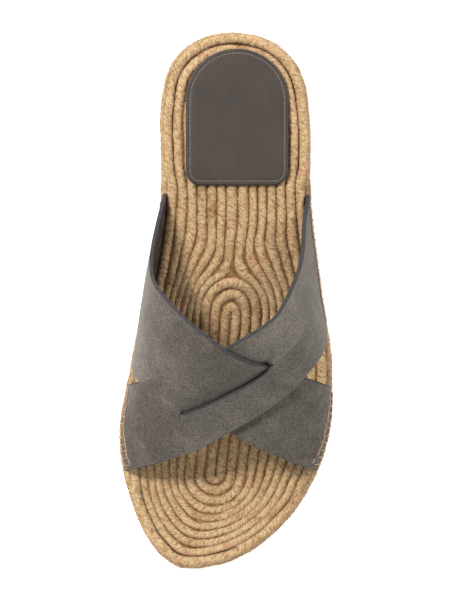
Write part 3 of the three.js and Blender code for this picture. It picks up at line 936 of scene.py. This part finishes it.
def strip(back, front, level, steps, round_back, round_front, thin=0.0):
    """Rows of wall between two edges. Each round_ value says how much that edge is rounded."""
    width = (front(ACROSS) - back(ACROSS)) * SOLE_LENGTH
    near = [distance / width for distance in NEAR_EDGE]
    inside = [mix(near[-1], 1 - near[-1], t) for t in np.linspace(0, 1, steps + 1)[1:-1]]
    rows = []
    for part in near + inside + [1 - share for share in near[::-1]]:
        station = mix(back(ACROSS), front(ACROSS), part)
        thickness = (SUEDE - thin - rounding(part * width) * round_back
                     - rounding((1 - part) * width) * round_front)
        rows.append(wall(station, level(station, ACROSS), thickness))
    return rows


NAP, PAINT, FLESH_SHADED = 0, 1, 2
# How far the middle of a painted edge stands out, and how near points are to be made one
EDGE_BULGE = 0.3
WELD_REACH = 0.004


class Skin:
    """Points and faces of a closed wall, with a look for each face (the nap, the paint, or the flesh
    side in painted shade) and, for each point, how much painted highlight lightens its suede."""

    def __init__(self):
        self.points, self.faces, self.looks, self.bloom, self.count = [], [], [], [], 0

    def grid(self, rows, look, wrap=False, bloom=0.0):
        rows = np.asarray(rows)
        self.points.append(rows.reshape(-1, 3))
        self.bloom.append(np.broadcast_to(bloom, rows.shape[:2]).ravel())
        made = grid_faces(rows.shape[0], rows.shape[1], False, wrap, self.count)
        self.faces.append(made)
        self.looks.append(np.full(len(made), look))
        self.count += rows.shape[0] * rows.shape[1]

    def strip(self, rows, bloom, painted_back, painted_front):
        columns = len(rows[0][0]) - 1
        paint = np.zeros((2, columns), bool)
        paint[0, painted_back] = True
        paint[1, painted_front] = True
        for face, depth, look in ((1, PAINTED_OUTSIDE, NAP), (0, PAINTED_INSIDE, FLESH_SHADED)):
            flip = slice(None) if face else slice(None, None, -1)
            self.grid([row[face][flip] for row in rows], look, bloom=bloom[flip] if face else 0.0)
            looks = self.looks[-1].reshape(len(rows) - 1, columns)
            looks[:depth, paint[0, flip]] = PAINT
            # The front edge's paint runs over on to the inside alone
            looks[len(rows) - 1 - (0 if face else depth):, paint[1, flip]] = PAINT
        feet = [np.array([[inner[end], outer[end]] for inner, outer in rows]) for end in (0, -1)]
        self.grid(feet[0], PAINT)
        self.grid(feet[1][:, ::-1], PAINT)

    def cut_edge(self, row, back, span=slice(None), bulge=EDGE_BULGE):
        inner, outer = row[0][span], row[1][span]
        middle = (inner + outer) / 2 + [0, bulge if back else -bulge, 0]
        lines = [outer, middle, inner] if back else [inner, middle, outer]
        self.grid(lines[::-1], PAINT)

    def piece(self, name, replaces):
        made = mesh_piece(name, np.concatenate(self.points), np.concatenate(self.faces),
                          [SUEDE_NAP, EDGE_PAINT, SHADED_FLESH_SIDE], replaces,
                          np.concatenate(self.looks), {"bloom": np.concatenate(self.bloom)})
        weld = made.modifiers.new("weld", "WELD")
        weld.merge_threshold = WELD_REACH * MM
        return made


def with_feet(across_values):
    """Values along the wall, kept the same down both feet."""
    return np.pad(across_values, len(FOOT_PARTS), mode="edge")


def column_at(across):
    """The column of a wall's rows that is nearest to a place across the foot."""
    return len(FOOT_PARTS) + int(np.argmin(np.abs(ACROSS - across)))


# Rows of wall between the edges of each strip
STEPS_BEHIND_SLIT, STEPS_BEFORE_SLIT, STEPS_CROSSING = 18, 16, 46
# How much thinner the band through the slit is where both are one piece of suede, so that it
# doesn't show through the other
JOINED_THINNER = 0.12


def slit_band():
    ones = np.ones(len(ACROSS))
    gate = slit_gate(ACROSS)
    behind = strip(edge(BACK_A), edge(SLIT), level_behind_slit, STEPS_BEHIND_SLIT, ones, gate)
    before = strip(edge(SLIT), edge(FRONT_A), level_before_slit, STEPS_BEFORE_SLIT, gate, ones)
    # Painted highlight: the suede is lightened on the little toe's side, where that flank catches the
    # light, and a little in front of the slit
    highlight_behind = with_feet(ease(0.5, 0.7, ACROSS) * (1 - 0.9 * ease(0.72, 0.9, ACROSS)))
    highlight_before = with_feet(0.3 * ease(0.3, 0.45, ACROSS))
    # Where the bands are one piece of suede, the back edge is not a cut one
    cut = with_feet((ACROSS < NOTCH) | (ACROSS > JOIN[1]))[:-1]
    opens, closes = column_at(SLIT_FROM - SLIT_CLOSING), column_at(SLIT_TO + SLIT_CLOSING)
    open_span = slice(opens, closes + 1)
    skin = Skin()
    skin.strip(behind, highlight_behind, cut, slice(0))
    skin.strip(before, highlight_before, slice(opens + 2, closes - 2), slice(None))
    skin.cut_edge(behind[0], True)
    skin.cut_edge(before[-1], False)
    skin.cut_edge(behind[-1], False, open_span, 0)
    skin.cut_edge(before[0], True, open_span, 0)
    return skin.piece("band_with_slit", "upper")


def crossing_band():
    ones = np.ones(len(ACROSS))
    thin = JOINED_THINNER * (1 - ease(*JOIN, ACROSS))
    rows = strip(edge(BACK_B), edge(FRONT_B), level_of_b, STEPS_CROSSING, ones, ones, thin)
    # Painted highlight: the suede is lightened on the big toe's side, where that flank catches the
    # light
    bloom = with_feet(0.5 * (1 - ease(0.15, 0.35, ACROSS)))
    skin = Skin()
    skin.strip(rows, bloom, slice(None), slice(column_at(JOIN[1]), None))
    skin.cut_edge(rows[0], True)
    skin.cut_edge(rows[-1], False)
    return skin.piece("band_through_slit", "upper")


slit_band()
crossing_band()

# Heel pad

PAD_LENGTH = 72.2
PAD_WIDTH = 54.4
PAD_THICKNESS = 1.5
PAD_CORNER = 7.5
PAD_SHARPEST = 0.4
PAD_FROM_HEEL = 9.5
PAD_STATION = (PAD_FROM_HEEL + PAD_LENGTH / 2) / SOLE_LENGTH
PAD_MIDDLE = spine_point(PAD_STATION)
# Points round the pad, and those that its outline is made from, at each corner and at the back
PAD_STEPS, CORNER_STEPS, BACK_STEPS = 160, 24, 90
# Rings of the upper side inside the stitches: first and last inset, and step
PAD_RINGS = (3.3, PAD_WIDTH / 2 - 0.3, 1.1)
# How far the ropes under the leather show through it
PAD_RIPPLE = 0.02


def pad_outline(inset, count=PAD_STEPS):
    """Points round the pad at a distance in from its edge: round at the back, square in front."""
    half = PAD_WIDTH / 2 - inset
    back = PAD_LENGTH / 2 - inset
    corner = max(PAD_CORNER - inset, PAD_SHARPEST)

    def arc(x, y, radius, start, end, steps):
        turns = np.radians(np.linspace(start, end, steps))
        return [(x + radius * math.cos(turn), y + radius * math.sin(turn)) for turn in turns]

    dense = (arc(half - corner, -back + corner, corner, -90, 0, CORNER_STEPS)
             + arc(0, back - half, half, 0, 180, BACK_STEPS)
             + arc(-half + corner, -back + corner, corner, 180, 270, CORNER_STEPS))
    dense = np.array(dense + dense[:1])
    steps = np.concatenate([[0], np.cumsum(np.linalg.norm(np.diff(dense, axis=0), axis=1))])
    at = np.linspace(0, steps[-1], count, endpoint=False)
    return np.stack([np.interp(at, steps, dense[:, k]) for k in (0, 1)], -1)


def heel_pad():
    """The pad with its turned edge and the groove for its stitches. Gives its top's level."""
    bottom = float(footbed(PAD_STATION)) + CLEARANCE
    top = bottom + PAD_THICKNESS
    # Distance in from the edge, and level
    profile = [(0.15, bottom), (0, bottom + 0.45), (0, top - 0.5), (0.12, top - 0.2),
               (0.4, top - 0.03), (1.2, top), (1.8, top - 0.05), (2.2, top - 0.28),
               (2.6, top - 0.05)]
    profile += [(inset, top) for inset in np.arange(*PAD_RINGS)]
    rows = np.array([np.column_stack([pad_outline(inset) + PAD_MIDDLE, np.full(PAD_STEPS, level)])
                     for inset, level in profile])
    upper_side = rows[3:]
    ripple = PAD_RIPPLE * np.cos(TAU * (upper_side[:, :, 0] - PAD_MIDDLE[0]) / ROPE_WIDTH)
    upper_side[:, :, 2] += ripple - PAD_RIPPLE
    faces = [tuple(face) for face in grid_faces(len(rows), PAD_STEPS, False, True)]
    last = (len(rows) - 1) * PAD_STEPS
    faces.append(tuple(range(PAD_STEPS - 1, -1, -1)))
    faces.append(tuple(range(last, last + PAD_STEPS)))
    mesh_piece("heel_pad_leather", rows.reshape(-1, 3), faces, [PAD], "heel_pad")
    return top


PAD_TOP = heel_pad()

# Stitches

THREAD_SIDES = 6


def stitch_mesh(name, runs, radius, material):
    """Many short lengths of thread as one mesh. A run is a line of points, and its thread thins
    towards both ends, where it dives in."""
    points, faces, first = [], [], 0
    for run in runs:
        run = np.asarray(run, float)
        ahead = unit(np.gradient(run, axis=0))
        reference = np.where(np.abs(ahead[:, 2:]) > 0.9, [[1.0, 0, 0]], [[0, 0, 1.0]])
        t = np.clip(np.linspace(0, 1, len(run)), 0.06, 0.94)
        thick = radius * (0.35 + 0.65 * np.sin(math.pi * t) ** 0.4)
        skin, sides = tube(run, reference, thick, THREAD_SIDES, first)
        points.append(skin)
        faces += sides
        first += len(skin)
    return mesh_piece(name, np.concatenate(points), faces, [material])


PAD_STITCH_INSET = 2.2
PAD_STITCH = 1.6
PAD_STITCH_GAP = 0.2
PAD_STITCH_POINTS = 5
PAD_THREAD_RADIUS = 0.2
# How deep the ends of a stitch lie under the pad's top, and how far its middle rises from them
PAD_STITCH_DEPTH, PAD_STITCH_BOW = 0.3, 0.22
PAD_LINE_STEPS = 1200


def pad_stitches():
    line = pad_outline(PAD_STITCH_INSET, PAD_LINE_STEPS) + PAD_MIDDLE
    closed = np.vstack([line, line[:1]])
    place = np.concatenate([[0], np.cumsum(np.linalg.norm(np.diff(closed, axis=0), axis=1))])
    count = round(place[-1] / PAD_STITCH)
    pitch = place[-1] / count
    bow = np.sin(np.linspace(0, math.pi, PAD_STITCH_POINTS))
    runs = []
    for k in range(count):
        s = np.linspace(k * pitch + PAD_STITCH_GAP, (k + 1) * pitch - PAD_STITCH_GAP,
                        PAD_STITCH_POINTS)
        flat = np.stack([np.interp(s, place, closed[:, i]) for i in (0, 1)], -1)
        runs.append(np.column_stack([flat, PAD_TOP - PAD_STITCH_DEPTH + PAD_STITCH_BOW * bow]))
    return stitch_mesh("pad_stitches", runs, PAD_THREAD_RADIUS, PAD_THREAD)


FOOT_STITCH = 4.2
FOOT_THREAD_RADIUS = 0.42
FOOT_STITCH_POINTS = 7
FOOT_SEED = 77
# How far from a foot's ends the thread begins, and how much a loop leans, both in stations
FOOT_MARGIN, FOOT_LEAN = 0.006, 0.004
FOOT_SAG = 0.7
# Height over the wall's base at which a loop ends, and the least height over the foot's edge
FOOT_LOOP_END, OVER_FOOT_EDGE = -5.0, 0.4
# The part of the way across, and the points on it, that a foot's outer face is looked up in
FOOT_REACH, FOOT_SAMPLES = 0.2, 160
# The first and last station of the suede that each foot's thread can hold, its side, and the
# heights over the wall's base of the lines of thread along it: the front feet are sewn twice
FEET = [
    (0.31, 0.612, -1, (3.0,)),
    (0.657, 0.812, -1, (7.5, 3.5)),
    (0.316, 0.545, 1, (3.0,)),
    (0.664, 0.811, 1, (7.5, 3.0)),
]


def on_foot(station, side, height, out):
    """A place on the band's outer face at a height over the wall's base, or on the foot below."""
    near = np.linspace(0, FOOT_REACH, FOOT_SAMPLES)
    line = section_point(np.full(FOOT_SAMPLES, station), near if side < 0 else 1 - near)
    x = float(np.interp(height, line[:, 2] - line[0, 2], line[:, 0]))
    z = max(line[0, 2] + height, float(band_foot(station)) + OVER_FOOT_EDGE)
    return np.array([x + side * (SUEDE / 2 + out), float(y_of(station)), z])


def foot_runs(first, last, side, lines, rng):
    """Whip stitch over a band's foot: lines along it, and a loop down to its edge at each stitch."""
    runs = []
    count = round((last - first) * SOLE_LENGTH / FOOT_STITCH)
    stations = np.linspace(first + FOOT_MARGIN, last - FOOT_MARGIN, count + 1)
    parts = np.linspace(0, 1, FOOT_STITCH_POINTS)
    arch = np.sin(math.pi * parts)
    for height in lines:
        for a, b in zip(stations[:-1], stations[1:]):
            sag = rng.uniform(-FOOT_SAG, FOOT_SAG)
            runs.append([on_foot(mix(a, b, t), side, height + sag * bow, 0.1 + 0.3 * bow)
                         for t, bow in zip(parts, arch)])
    for at in stations:
        lean = rng.uniform(-FOOT_LEAN, FOOT_LEAN)
        runs.append([on_foot(at + lean * t, side, mix(lines[0], FOOT_LOOP_END, t),
                             0.15 + 0.3 * bow) for t, bow in zip(parts, arch)])
    return runs


def foot_stitches():
    rng = np.random.default_rng(FOOT_SEED)
    runs = [run for foot in FEET for run in foot_runs(*foot, rng)]
    return stitch_mesh("foot_stitches", runs, FOOT_THREAD_RADIUS, FOOT_THREAD)


pad_stitches()
foot_stitches()

# Outsole

for item in bpy.data.objects:
    if item.type == "MESH" and item.name.split(".")[0] == "outsole":
        item.data.materials.clear()
        item.data.materials.append(CREPE)

# Floor, lights and camera

FLOOR_HALF = 3.0
# Just under the outsole, so that the two never share a plane
FLOOR_DROP = 0.0002


def floor():
    mesh = bpy.data.meshes.new("floor")
    corners = [(-1, -1), (1, -1), (1, 1), (-1, 1)]
    mesh.from_pydata([(x * FLOOR_HALF, y * FLOOR_HALF, 0) for x, y in corners], [],
                     [(0, 1, 2, 3)])
    piece = bpy.data.objects.new("floor", mesh)
    piece.location.z = -FLOOR_DROP
    bpy.context.scene.collection.objects.link(piece)
    mesh.materials.append(BACKDROP)


def light(name, place, size, power):
    data = bpy.data.lights.new(name, "AREA")
    data.shape = "DISK"
    data.size = size
    data.energy = power
    lamp = bpy.data.objects.new(name, data)
    lamp.location = place
    lamp.rotation_euler = (-lamp.location).to_track_quat("-Z", "Y").to_euler()
    bpy.context.scene.collection.objects.link(lamp)


floor()
# The key throws the bands' shadow on to the ropes, the others lighten the heel's far side and
# the ropes in front of the bands
light("key", (-0.84, 0.66, 1.12), 0.32, 25)
light("right", (1.1, 1.0, 0.65), 0.8, 17)
light("front", (-0.3, -1.4, 0.9), 0.9, 12)

STUDIO_LIGHT = 0.4
world = bpy.data.worlds.new("studio")
world.use_nodes = True
world.node_tree.nodes["Background"].inputs["Color"].default_value = colour("#ffffff")
world.node_tree.nodes["Background"].inputs["Strength"].default_value = STUDIO_LIGHT
bpy.context.scene.world = world
bpy.context.scene.view_settings.view_transform = "Standard"

# The photograph's camera is above the middle of the pair, on the big toe's side of this shoe
CAMERA = (-0.067, 0.01, 2.0)
# The picture is this high, in metres, at the level of the footbed's lower half
VIEW_HEIGHT = 0.3195
VIEW_LEVEL = 0.012
SENSOR = 24
camera_data = bpy.data.cameras.new("camera")
camera_data.sensor_fit = "VERTICAL"
camera_data.sensor_height = SENSOR
camera_data.lens = SENSOR / 2 / (VIEW_HEIGHT / 2 / (CAMERA[2] - VIEW_LEVEL))
camera = bpy.data.objects.new("camera", camera_data)
camera.location = CAMERA
camera.rotation_euler = (-math.atan2(CAMERA[1], CAMERA[2]), math.atan2(CAMERA[0], CAMERA[2]), 0)
bpy.context.scene.collection.objects.link(camera)
bpy.context.scene.camera = camera
